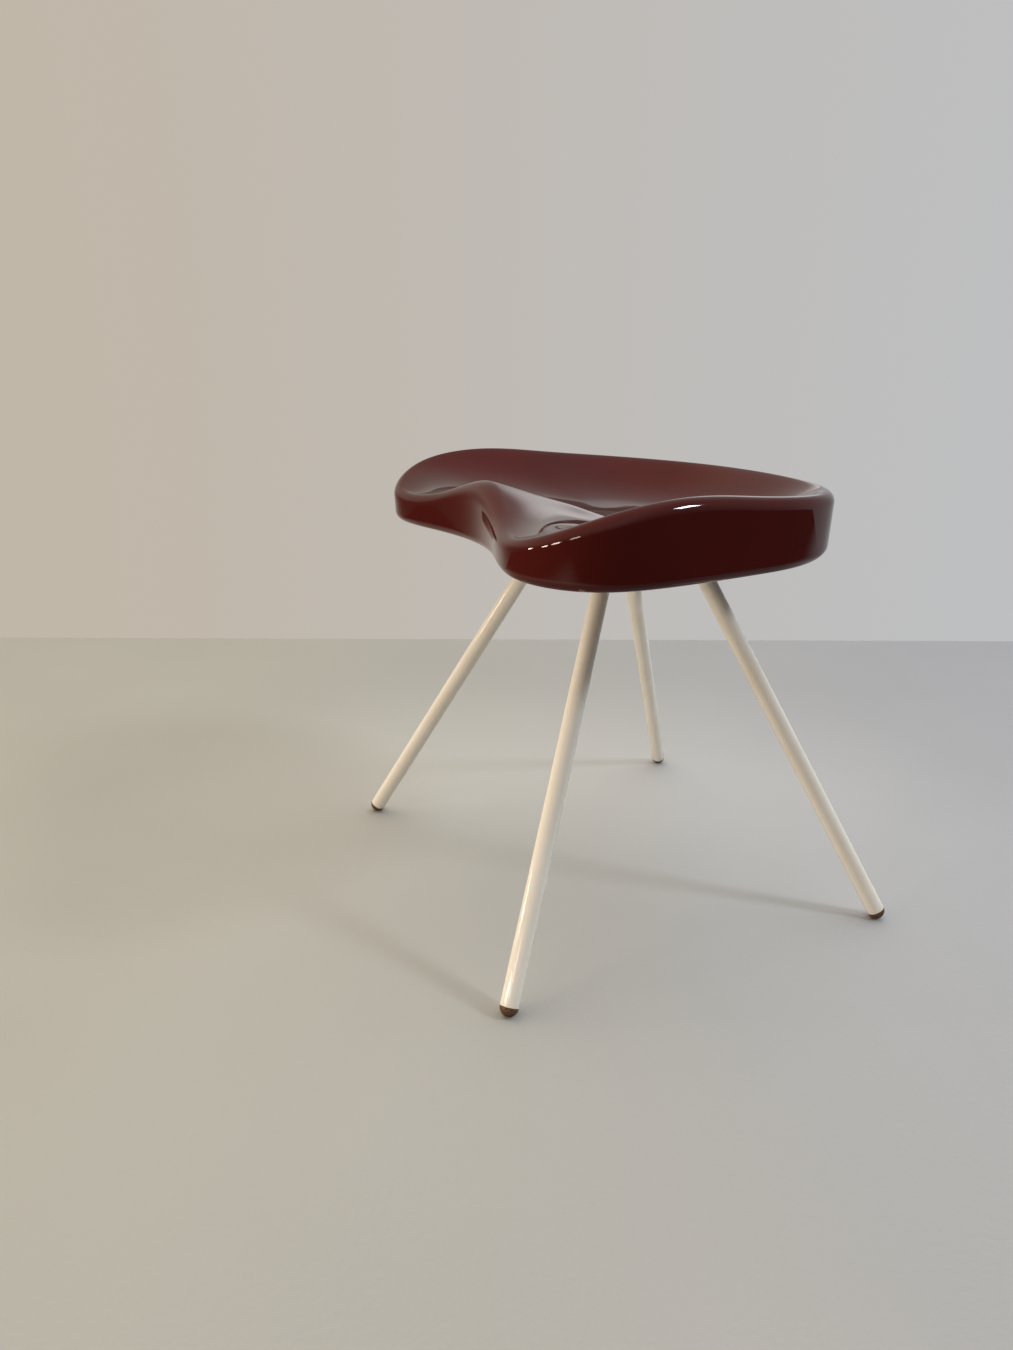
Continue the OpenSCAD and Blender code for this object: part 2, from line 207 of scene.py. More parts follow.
class Signal:
    """A node's output. Arithmetic on it adds the Math nodes that work it out."""

    def __init__(self, graph, socket):
        self.graph = graph
        self.socket = socket

    def maths(self, operation, *terms):
        """One Math node on one or two terms, each a signal or a number."""
        return self.graph.add("ShaderNodeMath", {"operation": operation}, dict(enumerate(terms)))

    def __add__(self, other):
        return self.maths("ADD", self, other)

    __radd__ = __add__

    def __sub__(self, other):
        return self.maths("SUBTRACT", self, other)

    def __rsub__(self, other):
        return self.maths("SUBTRACT", other, self)

    def __mul__(self, other):
        return self.maths("MULTIPLY", self, other)

    __rmul__ = __mul__

    def __truediv__(self, other):
        return self.maths("DIVIDE", self, other)

    def __pow__(self, other):
        return self.maths("POWER", self, other)

    def __abs__(self):
        return self.maths("ABSOLUTE", self)

    def sine(self):
        return self.maths("SINE", self)

    def larger(self, other):
        """The larger of two signals."""
        return self.maths("MAXIMUM", self, other)

    def ease(self, low, high):
        """0 below low, 1 above high and a smooth rise between them. high may be the lower one."""
        return self.graph.add(
            "ShaderNodeMapRange",
            {"interpolation_type": "SMOOTHSTEP", "clamp": True},
            {"Value": self, "From Min": low, "From Max": high, "To Min": 0.0, "To Max": 1.0},
        )

    def along(self, direction):
        """How far a vector goes along a direction."""
        return self.graph.add(
            "ShaderNodeVectorMath", {"operation": "DOT_PRODUCT"}, {0: self, 1: direction}, "Value"
        )

    def scaled(self, amounts):
        """A vector times three numbers, one for each axis."""
        return self.graph.add("ShaderNodeVectorMath", {"operation": "MULTIPLY"}, {0: self, 1: amounts})

    def split(self):
        """The three parts of a vector."""
        parts = self.graph.add("ShaderNodeSeparateXYZ", {}, {"Vector": self})
        outputs = parts.socket.node.outputs
        return [Signal(self.graph, outputs[axis]) for axis in "XYZ"]


class Graph:
    """A node tree that is written as plain calls."""

    def __init__(self, tree):
        self.tree = tree
        tree.nodes.clear()

    def add(self, kind, settings, sockets, output=0):
        """Adds a node, gives it its settings, then its sockets, and returns one output."""
        node = self.tree.nodes.new(kind)
        for name, value in settings.items():
            setattr(node, name, value)
        for key, value in sockets.items():
            target = self.find(node.inputs, key)
            if isinstance(value, Signal):
                self.tree.links.new(value.socket, target)
            else:
                if target.type == "RGBA" and len(value) == 3:
                    value = (*value, 1.0)
                target.default_value = value
        if not node.outputs:
            return node
        return Signal(self, self.find(node.outputs, output))

    @staticmethod
    def find(sockets, key):
        """A socket by its index, its identifier or its name."""
        if isinstance(key, int):
            return sockets[key]
        return next((socket for socket in sockets if socket.identifier == key), None) or sockets[key]

    def place(self):
        """Where a point is on its piece, in metres."""
        return self.add("ShaderNodeTexCoord", {}, {}, "Object")

    def lain(self):
        """Where a point is along its own piece, in metres, before the piece was put in place."""
        kept = {"attribute_name": "lain", "attribute_type": "GEOMETRY"}
        return self.add("ShaderNodeAttribute", kept, {}, "Vector")

    def noise(self, where, scale, detail=2.0, roughness=0.5):
        """Soft noise from 0 to 1, with some scale spots to the metre."""
        return self.add(
            "ShaderNodeTexNoise",
            {"noise_dimensions": "3D"},
            {"Vector": where, "Scale": scale, "Detail": detail, "Roughness": roughness},
            "Fac",
        )

    def gloss(self, sockets):
        """The principled shader with those sockets."""
        return self.add("ShaderNodeBsdfPrincipled", {}, sockets)

    def emit(self, colour):
        """A shader that shows a colour as it is written."""
        return self.add("ShaderNodeEmission", {}, {"Color": colour, "Strength": 1.0})

    def mix(self, factor, first, second):
        """Shader from first to second."""
        return self.add("ShaderNodeMixShader", {}, {0: factor, 1: first, 2: second})

    def ray(self, kind):
        """1 for rays of that kind and 0 for others."""
        return self.add("ShaderNodeLightPath", {}, {}, f"Is {kind} Ray")

    def blend(self, factor, first, second):
        """Colour from first to second."""
        return self.add(
            "ShaderNodeMix",
            {"data_type": "RGBA", "blend_type": "MIX", "clamp_factor": True},
            {"Factor_Float": factor, "A_Color": first, "B_Color": second},
            "Result_Color",
        )

    def tilted(self, where, angle, stretch, shift=(0.0, 0.0, 0.0)):
        """Places squeezed, turned and moved, for strands and scratches that lie one way."""
        return self.add(
            "ShaderNodeMapping",
            {"vector_type": "POINT"},
            {"Vector": where, "Location": shift, "Rotation": angle, "Scale": stretch},
        )

    def dimmed(self, colour, amount):
        """A colour made darker or brighter by an amount."""
        return self.add("ShaderNodeVectorMath", {"operation": "SCALE"}, {0: colour, "Scale": amount})

    def relief(self, height, depth):
        """A surface normal from a height, where depth is the metres that a height of 1 stands for."""
        return self.add("ShaderNodeBump", {}, {"Height": height, "Distance": depth, "Strength": 1.0})


def surface_of(name, shade):
    """A material of that name, whose graph shade fills and returns the shader of."""
    material = bpy.data.materials.new(name)
    material.use_nodes = True
    graph = Graph(material.node_tree)
    graph.add("ShaderNodeOutputMaterial", {}, {"Surface": shade(graph)})
    return material


def material_named(name):
    """Turns a recipe for a surface's sockets into a maker of the material of that name."""

    def maker_of(recipe):
        def maker(colours):
            return surface_of(name, lambda graph: graph.gloss(recipe(graph, colours)))

        return maker

    return maker_of


def scratches(graph, where, scale, angles, width):
    """Thin lines along some directions, 1 on a line and 0 beside it."""
    layers = []
    for turn, angle in enumerate(angles):
        stretch, shift = (scale, scale * 0.04, scale), (7.3 * turn, 2.1, 4.7)
        lain = graph.tilted(where, (0.0, 0.0, angle), stretch, shift)
        layers.append(abs(graph.noise(lain, 1.0, 1.0) - 0.5).ease(width, 0.0))
    return reduce(Signal.larger, layers)


@material_named("gloss_maroon_gelcoat")
def gelcoat(graph, colours):
    """High-gloss moulded gelcoat, slightly wavy from its mould and lightly rubbed."""
    where = graph.place()
    cloud = graph.noise(where, 7.0, 3.0)
    base = tuple(colours.gelcoat)
    deep = tuple(0.90 * value for value in base)
    bright = tuple(1.10 * value for value in base)
    dust = graph.noise(where, 260.0, 3.0, 0.7).ease(0.62, 0.80)
    rubbed = scratches(graph, where, 70.0, (0.3, 1.4, 2.5), 0.0035)
    patch = graph.noise(where, 16.0, 2.0).ease(0.48, 0.70)
    roughness = 0.035 + 0.03 * patch + 0.05 * dust + 0.09 * (rubbed * patch)
    peel = graph.noise(where, 95.0, 1.0)
    sway = graph.noise(where, 24.0, 1.0)
    height = 0.012 * peel + 0.05 * sway + 0.003 * dust
    return {
        "Base Color": graph.blend(cloud.ease(0.3, 0.7), deep, bright),
        "Roughness": roughness,
        "IOR": 1.5,
        "Normal": graph.relief(height, 0.001),
    }


@material_named("bare_strand_laminate")
def laminate(graph, colours):
    """Bare laminate with chopped strands in it, as on the inside of a moulding."""
    where = graph.place()
    layers = []
    for turn, angle in enumerate((0.2, 0.9, 1.7, 2.6)):
        lain = graph.tilted(where, (0.15 * turn, 0.1, angle), (320.0, 26.0, 120.0))
        layers.append(graph.noise(lain, 1.0, 2.0).ease(0.54, 0.66))
    strands = reduce(Signal.larger, layers)
    wet = graph.noise(where, 22.0, 3.0)
    colour = graph.blend(strands * (0.35 + 0.5 * wet), tuple(colours.laminate), tuple(colours.strand))
    return {
        "Base Color": colour,
        "Roughness": 0.28 + 0.30 * strands + 0.15 * wet,
        "Normal": graph.relief(0.35 * strands + 0.65 * wet, 0.0009),
    }


@material_named("gloss_cream_enamel")
def enamel(graph, colours):
    """Gloss cream enamel with the soft ripple of paint, rubbed in places."""
    where = graph.lain()
    cloud = graph.noise(where, 12.0, 3.0)
    ripple = graph.noise(where.scaled((1.0, 1.0, 0.5)), 130.0, 0.0)
    rub = scratches(graph, where, 110.0, (0.5, 2.1), 0.006) * cloud.ease(0.42, 0.7)
    base = tuple(colours.enamel)
    aged = tuple(value * shade for value, shade in zip(base, (0.965, 0.95, 0.91)))
    colour = graph.blend(cloud.ease(0.35, 0.75), base, aged)
    colour = graph.blend(0.45 * rub, colour, tuple(colours.enamel_worn))
    return {
        "Base Color": colour,
        "Roughness": 0.05 + 0.05 * cloud + 0.2 * rub,
        "IOR": 1.5,
        "Normal": graph.relief(0.04 * ripple - 0.002 * rub, 0.001),
    }


@material_named("oiled_dark_wood")
def turned_wood(graph, colours):
    """Oiled dark wood, turned along its grain, whose rings show as arcs at the bottom."""
    heart, spacing = 0.019, 3600.0
    where = graph.lain()
    wander = graph.noise(where.scaled((1.0, 1.0, 0.25)), 160.0, 3.0)
    x, y, z = where.split()
    off_centre = x + heart
    radius = (off_centre * off_centre + y * y) ** 0.5
    rings = (radius * spacing + wander * 5.0 + z * 60.0).sine()
    early = rings.ease(-0.6, 0.9)
    pores = graph.noise(where.scaled((1.0, 1.0, 0.06)), 2600.0, 2.0).ease(0.60, 0.72)
    colour = graph.blend(0.75 * early, tuple(colours.wood), tuple(colours.wood_dark))
    colour = graph.blend(0.6 * pores, colour, tuple(0.5 * value for value in colours.wood_dark))
    # painted shade: the ball is painted darker towards its bottom, and its roughness rises there too
    foot = z.ease(-0.0045, -0.0086)
    colour = graph.blend(0.55 * foot, colour, tuple(0.55 * value for value in colours.wood_dark))
    return {
        "Base Color": colour,
        "Roughness": 0.42 + 0.16 * pores + 0.14 * foot,
        "Normal": graph.relief(0.5 * (1.0 - early) + 0.5 * (1.0 - pores), 0.00012),
    }


@material_named("bare_plywood")
def plywood(graph, colours):
    """Bare plywood: long grain on its faces and the stacked plies along its sides."""
    where = graph.place()
    grain = graph.noise(where.scaled((0.08, 1.0, 1.0)), 420.0, 4.0, 0.6)
    figure = graph.noise(where.scaled((0.2, 1.0, 1.0)), 38.0, 3.0)
    two_plies = 0.0030
    plies = (where.split()[2] * (2.0 * math.pi / two_plies)).sine().ease(-0.15, 0.15)
    upright = graph.add("ShaderNodeNewGeometry", {}, {}, "Normal").split()[2]
    side = abs(upright).ease(0.85, 0.5)
    pale = tuple(colours.veneer)
    dark = tuple(colours.veneer_dark)
    face = graph.blend(0.55 * grain.ease(0.42, 0.66) + 0.3 * figure, pale, dark)
    edge = graph.blend(0.75 * plies + 0.2 * grain, pale, dark)
    return {
        "Base Color": graph.blend(side, face, edge),
        "Roughness": 0.62 + 0.18 * grain,
        "Normal": graph.relief(grain, 0.0002),
    }


@material_named("bright_zinc")
def zinc(graph, colours):
    """Bright zinc plate, slightly blotched and brushed."""
    where = graph.place()
    blotch = graph.noise(where, 420.0, 3.0)
    brushed = graph.noise(where.scaled((1.0, 1.0, 9.0)), 1400.0, 2.0)
    pale = tuple(colours.zinc)
    dull = tuple(0.72 * value for value in pale)
    return {
        "Base Color": graph.blend(blotch.ease(0.35, 0.7), pale, dull),
        "Metallic": 1.0,
        "Roughness": 0.26 + 0.18 * blotch + 0.06 * brushed,
        "Normal": graph.relief(brushed, 0.00002),
    }


@material_named("turned_brass")
def brass(graph, colours):
    """Plain turned brass."""
    where = graph.place()
    turned = graph.noise(where.scaled((1.0, 1.0, 30.0)), 300.0, 2.0)
    dull = tuple(0.6 * value for value in colours.brass)
    return {
        "Base Color": graph.blend(turned.ease(0.4, 0.7), tuple(colours.brass), dull),
        "Metallic": 1.0,
        "Roughness": 0.28 + 0.2 * turned,
        "Normal": graph.relief(turned, 0.00003),
    }


# Meshes


def loft(rings, first_tip=None, last_tip=None, seam=False):
    """Points and faces of a skin over closed rings of equal length, anticlockwise seen from outside."""
    rows, count = len(rings), len(rings[0])
    points = [np.asarray(ring, float) for ring in rings]
    faces = []
    for row in range(rows if seam else rows - 1):
        low, high = row * count, (row + 1) % rows * count
        for i in range(count):
            k = (i + 1) % count
            faces.append((low + i, low + k, high + k, high + i))
    tip = rows * count
    if first_tip is not None:
        points.append(np.array([first_tip], float))
        faces.extend((tip, (i + 1) % count, i) for i in range(count))
        tip += 1
    if last_tip is not None:
        start = (rows - 1) * count
        points.append(np.array([last_tip], float))
        faces.extend((tip, start + i, start + (i + 1) % count) for i in range(count))
    return np.vstack(points), faces


def joined(parts):
    """Several sets of points and faces as one."""
    points, faces, start = [], [], 0
    for part_points, part_faces in parts:
        points.append(part_points)
        faces.extend(tuple(start + index for index in face) for face in part_faces)
        start += len(part_points)
    return np.vstack(points), faces


def piece(name, shape, materials, replaced=(), place=None, crease=35.0, which=None):
    """A piece of the stool from its points and faces, riding on the stool's one body.

    place puts the points where they belong. Their own coordinates stay on the mesh as the
    attribute "lain", so that grain and rubbed paint follow the piece. Edges are sharp from the
    angle crease, in degrees. which, where it is given, holds the index of each face's material.
    """
    points, faces = shape
    lain = np.asarray(points, float)
    if place is not None:
        points = lain @ np.array(place.to_3x3()).T + np.array(place.translation)
    mesh = bpy.data.meshes.new(name)
    mesh.from_pydata([tuple(point) for point in points], [], faces)
    own = mesh.attributes.new("lain", "FLOAT_VECTOR", "POINT")
    own.data.foreach_set("vector", lain.ravel())
    for material in materials:
        mesh.materials.append(material)
    if which is not None:
        mesh.polygons.foreach_set("material_index", which)
    mesh.shade_smooth()
    mesh.set_sharp_from_angle(angle=math.radians(crease))
    mesh.update()
    made = bpy.data.objects.new(name, mesh)
    bpy.context.scene.collection.objects.link(made)
    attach(made, BODY)
    if replaced:
        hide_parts(*replaced)


def smooth(amount):
    """0 to 1 with a level start and end."""
    return amount * amount * (3 - 2 * amount)


def raised(flat, height):
    """Level points at one height, or each at its own."""
    return np.column_stack([flat, np.broadcast_to(height, len(flat))])


def circle(radius, height, count, across=None):
    """A ring about Z. across is the width over the flats where the ring is a hexagon."""
    angles = 2 * math.pi * np.arange(count) / count
    if across is not None:
        sixth = math.pi / 3
        radius = across / 2 / np.cos(np.mod(angles, sixth) - sixth / 2)
    return raised(np.column_stack([radius * np.cos(angles), radius * np.sin(angles)]), height)


def turned(profile, count):
    """A turned piece from its profile of [radius, height], closed on the axis at both ends."""
    rings = [circle(radius, height, count) for radius, height in profile[1:-1]]
    return loft(rings, (0, 0, profile[0][1]), (0, 0, profile[-1][1]))


def arc(centre, radius, start, end, steps):
    """Points of an arc in a profile, as [across, height], with angles in degrees."""
    angles = np.radians(np.linspace(start, end, steps + 1))
    return [(centre[0] + radius * math.cos(a), centre[1] + radius * math.sin(a)) for a in angles]


# The seat's surface


class Saddle:
    """The seat's computed surface, with the same stations and curves as the solid."""

    RIM_STEPS = 16
    RELAX_STEPS = 24
    RING_POWER = 1.4
    TROUGH_START = 0.020
    TROUGH_RUN = 0.120
    FIT_REACH = 0.2

    def __init__(self, sizes):
        self.sizes = s = sizes
        half = [
            (0.0, s.scallop - s.lobe_reach, s.pommel_z),
            (s.trough_spread / 2, s.trough - s.lobe_reach, s.trough_z),
            (s.lobe_spread / 2, -s.lobe_reach, s.lobe_z),
            (s.shoulder_w / 2, -s.shoulder_y, s.shoulder_z),
            (s.hip_w / 2, -s.hip_y, s.hip_z),
            (s.flank_w / 2, s.flank_y, s.flank_z),
            (s.quarter_w / 2, s.quarter_y, s.quarter_z),
            (s.corner_w / 2, s.corner_y, s.back_z),
            (0.0, s.back_y, s.back_z),
        ]
        stations = np.array(half + [(-x, y, z) for x, y, z in half[-2:0:-1]])
        controls = stations.copy()
        for _ in range(self.RELAX_STEPS):
            beside = np.roll(controls, 1, 0) + np.roll(controls, -1, 0)
            controls = (6 * stations - beside) / 4
        self.level = stations[:, 2].mean()
        self.line, slope = self.curve(controls)
        across = np.column_stack([slope[:, 1], -slope[:, 0]])
        self.out = across / np.linalg.norm(across, axis=1)[:, None]
        front = self.line[:, 1] < 0
        hump = np.exp(-((self.line[:, 0] / s.pommel_half) ** 2)) * front
        self.round = s.rim_r + (s.pommel_r - s.rim_r) * hump
        ridge = np.exp(-((self.line[:, 0] / s.ridge_half) ** 2)) * front
        into = smooth(np.clip((-self.line[:, 1] - self.TROUGH_START) / self.TROUGH_RUN, 0.0, 1.0))
        walls = s.steepness + (s.troughs - s.steepness) * into
        self.steepness = walls + (s.ridge - walls) * ridge
        self.crest = self.line[:, :2] - self.round[:, None] * self.out
        self.block_edge = s.block_share - s.block_lean * self.crest[:, 1] / s.back_y
        self.centre = np.array([0.0, s.dish_y])

    def curve(self, controls):
        """Points and slopes of the closed curve through the stations."""
        points, slopes = [], []
        for i in range(len(controls)):
            near = controls[[i - 1, i, (i + 1) % len(controls), (i + 2) % len(controls)]]
            for k in range(self.RIM_STEPS):
                f = k / self.RIM_STEPS
                g = 1 - f
                points.append(
                    np.array([g**3, 3 * f**3 - 6 * f**2 + 4, 3 * g**3 - 6 * g**2 + 4, f**3]) / 6 @ near
                )
                slopes.append(np.array([-(g**2), 3 * f**2 - 4 * f, 4 * g - 3 * g**2, f**2]) / 2 @ near)
        return np.array(points), np.array(slopes)

    def ring(self, inward, height):
        """A ring that stands some distance in from the seat's edge."""
        inward = np.broadcast_to(inward, len(self.line))
        return raised(self.line[:, :2] - inward[:, None] * self.out, height)

    def edge_rings(self, depth, low_steps, high_steps):
        """Rings from the flange round the skirt's edge, up and over the rim. depth is 0 outside."""
        s = self.sizes
        foot = s.draft + s.skirt_r
        low = s.skirt_r - depth
        high = self.round - depth
        rings = [self.ring(foot + s.flange, SKIRT_Z + depth)]
        for turn in np.linspace(0, math.pi / 2, low_steps + 1):
            height = SKIRT_Z + s.skirt_r - low * math.cos(turn)
            rings.append(self.ring(foot - low * math.sin(turn), height))
        for turn in np.linspace(0, math.pi / 2, high_steps + 1):
            height = self.line[:, 2] - self.round + high * math.sin(turn)
            rings.append(self.ring(self.round - high * math.cos(turn), height))
        return rings

    def dish_ring(self, along, depth):
        """A ring down the dish. along runs from 0 at the crest to 1 at the centre."""
        s = self.sizes
        along = np.broadcast_to(along, len(self.line))
        bowl = (1 - along**s.dish_start) ** self.steepness
        fade = (1 - along) / (1 + (along / s.rim_reach) ** s.dish_start)
        rim = self.level + (self.line[:, 2] - self.level) * fade
        flat = self.crest + along[:, None] * (self.centre - self.crest)
        return raised(flat, s.floor_z + (rim - s.floor_z) * bowl - depth)

    def dish_rings(self, depth, steps):
        """The rings between the crest and the centre, closer together near the crest."""
        return [self.dish_ring((k / steps) ** self.RING_POWER, depth) for k in range(1, steps)]

    def calmed(self, rings, start, full):
        """The dish's rings with a smooth bowl fitted into the middle, so no spoke shows there."""
        count = len(rings)
        alongs = [((k + 1) / (count + 1)) ** self.RING_POWER for k in range(count)]
        inside = np.vstack([ring for ring, along in zip(rings, alongs) if along > start])

        def terms(points):
            x2 = (points[:, 0] / self.FIT_REACH) ** 2
            y = (points[:, 1] - self.sizes.dish_y) / self.FIT_REACH
            return np.column_stack([x2**a * y**b for a in range(4) for b in range(7 - 2 * a)])

        fit = np.linalg.lstsq(terms(inside), inside[:, 2], rcond=None)[0]
        for ring, along in zip(rings, alongs):
            mix = smooth(min(max((along - start) / (full - start), 0.0), 1.0))
            ring[:, 2] += mix * (terms(ring) @ fit - ring[:, 2])
        tip = terms(np.array([[*self.centre, 0.0]])) @ fit
        return rings, (*self.centre, float(tip[0]))


class StoolSeat(bpy.types.Operator):
    """Builds the moulded seat: dished top, rim, skirt and in-turned flange in one wall"""

    bl_idname = "stool.seat"
    bl_label = "Moulded seat"

    def execute(self, context):
        sizes = context.scene.stool_seat
        colours = context.scene.stool_colours
        saddle = Saddle(sizes)
        outer = saddle.edge_rings(0.0, 9, 16)
        dish, tip = saddle.calmed(saddle.dish_rings(0.0, 60), 0.45, 0.8)
        inner = saddle.edge_rings(sizes.wall, 5, 8) + saddle.dish_rings(sizes.wall, 30)
        under = (*saddle.centre, sizes.floor_z - sizes.wall)
        points, faces = loft(inner[::-1] + outer + dish, under, tip)
        count = len(saddle.line)
        bare = len(inner) * count
        which = [int(max(face) < bare) for face in faces]
        # the last faces are the fans round the tip under the dish and the tip on top
        which[-2 * count :] = [1] * count + [0] * count
        piece(
            "seat_moulding",
            (points, faces),
            [gelcoat(colours), laminate(colours)],
            ["seat_shell"],
            crease=50.0,
            which=which,
        )
        return {"FINISHED"}


class StoolBlock(bpy.types.Operator):
    """Builds the plywood block under the dish and finishes the brass inserts in it"""

    bl_idname = "stool.block"
    bl_label = "Backing block"

    def execute(self, context):
        sizes = context.scene.stool_seat
        colours = context.scene.stool_colours
        saddle = Saddle(sizes)
        depth = sizes.wall + sizes.glue
        base = PLATE_HIGH.z
        nose, steps = 0.0009, 10
        outline = saddle.dish_ring(1 - saddle.block_edge, depth)
        heading = outline[:, :2] - saddle.centre
        heading /= np.linalg.norm(heading, axis=1)[:, None]
        rings = []
        for turn in np.linspace(0, math.pi / 2, 5):
            ring = outline.copy()
            ring[:, :2] -= nose * (1 - math.sin(turn)) * heading
            ring[:, 2] = base + nose * (1 - math.cos(turn))
            rings.append(ring)
        for k in range(steps):
            rings.append(saddle.dish_ring(1 - saddle.block_edge * (1 - k / steps), depth))
        shape = loft(rings, (*saddle.centre, base), (*saddle.centre, sizes.floor_z - depth))
        piece("seat_block", shape, [plywood(colours)], ["backing_block"])
        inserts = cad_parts["threaded_inserts"]
        inserts.data.materials.clear()
        inserts.data.materials.append(brass(colours))
        return {"FINISHED"}


# Legs, plate and fasteners


def leg_place(sizes, side):
    """A placing at the foot's centre whose Z runs up the leg, the leg's length and its tilt."""
    sx, sy = SIDES[side]
    radius = sizes.tube_d / 2 - sizes.setback
    foot = Vector((sx * sizes.feet_x / 2, sy * sizes.feet_y / 2, radius - sizes.foot_flat))
    top = Vector((sx * sizes.top_x / 2, sy * sizes.top_y / 2, PLATE_LOW.z))
    run = top - foot
    tilt = math.acos(run.z / run.length)
    turn = math.atan2(run.y, run.x)
    place = Matrix.Translation(foot) @ Matrix.Rotation(turn, 4, "Z") @ Matrix.Rotation(tilt, 4, "Y")
    return place, run.length, tilt


def footprint(sizes, side, count, grow=0.0):
    """The leg's placing, and the ring where its tube, grown by a distance, meets the level plate."""
    place, reach, tilt = leg_place(sizes, side)
    ring = circle(sizes.tube_d / 2 + grow, reach, count)
    ring[:, 2] += ring[:, 0] * math.tan(tilt)
    return place, ring


def bolt_middles(sizes):
    """The four places of the bolts, on the level of the floor."""
    return [
        np.array([sx * sizes.bolt_x / 2, sy * sizes.bolt_y / 2, 0.0])
        for sx in (-1, 1)
        for sy in (-1, 1)
    ]


class StoolLegs(bpy.types.Operator):
    """Builds the four tube legs, cut flush under the plate, with a rounded lip at the foot"""

    bl_idname = "stool.legs"
    bl_label = "Tube legs"

    def execute(self, context):
        sizes = context.scene.stool_legs
        finish = enamel(context.scene.stool_colours)
        count, steps = 72, 24
        bore_end, clear = 0.02, 0.004
        lip, low_lip = sizes.lip, sizes.lip * 0.6
        inner = sizes.tube_d / 2 - sizes.wall
        outer = sizes.tube_d / 2
        for side in SIDES:
            place, top = footprint(sizes, side, count)
            _, bore_top = footprint(sizes, side, count, -sizes.wall)
            profile = [(inner, bore_end)]
            profile += arc((inner + low_lip, low_lip), low_lip, 180, 270, 3)
            profile += arc((outer - lip, lip), lip, 270, 360, 6)
            run = top[:, 2].min() - clear - lip
            profile += [(outer, lip + run * k / steps) for k in range(1, steps + 1)]
            rings = [bore_top, *(circle(across, height, count) for across, height in profile), top]
            tube = loft(rings, seam=True)
            piece(f"leg_tube_{side}", tube, [finish], [f"leg_{side}"], place, 40.0)
        return {"FINISHED"}


class StoolFeet(bpy.types.Operator):
    """Builds the four turned feet: a half ball, a fine joint line and a spigot in the tube"""

    bl_idname = "stool.feet"
    bl_label = "Wooden feet"

    def execute(self, context):
        sizes = context.scene.stool_legs
        finish = turned_wood(context.scene.stool_colours)
        fit, broken, groove, bevel = 0.0001, 0.00015, 0.0004, 0.001
        ball = sizes.tube_d / 2 - sizes.setback
        plug = sizes.tube_d / 2 - sizes.wall - fit
        joint, end = sizes.joint, sizes.spigot
        shoulder = math.asin(joint / ball)
        profile = [(0.0, -ball)]
        profile += arc((0, 0), ball, -88, -math.degrees(shoulder) - 3, 26)
        profile += [
            (ball * math.cos(shoulder) - broken, -joint),
            (plug + groove, -joint * 0.8),
            (plug, joint),
            (plug, end - bevel),
            (plug - bevel, end),
            (0.0, end),
        ]
        for side in SIDES:
            place, _, tilt = leg_place(sizes, side)
            points, faces = turned(profile, 48)
            # the flat that the foot stands on is level, so the ball is cut by the floor's plane
            up = np.array((Matrix.Rotation(tilt, 3, "Y")).inverted() @ Vector((0, 0, 1)))
            depth = points @ up
            level = -(ball - sizes.foot_flat)
            low = depth < level
            points[low] += np.outer(level - depth[low], up)
            foot = (points, faces)
            piece(f"foot_ball_{side}", foot, [finish], [f"foot_{side}"], place)
        return {"FINISHED"}


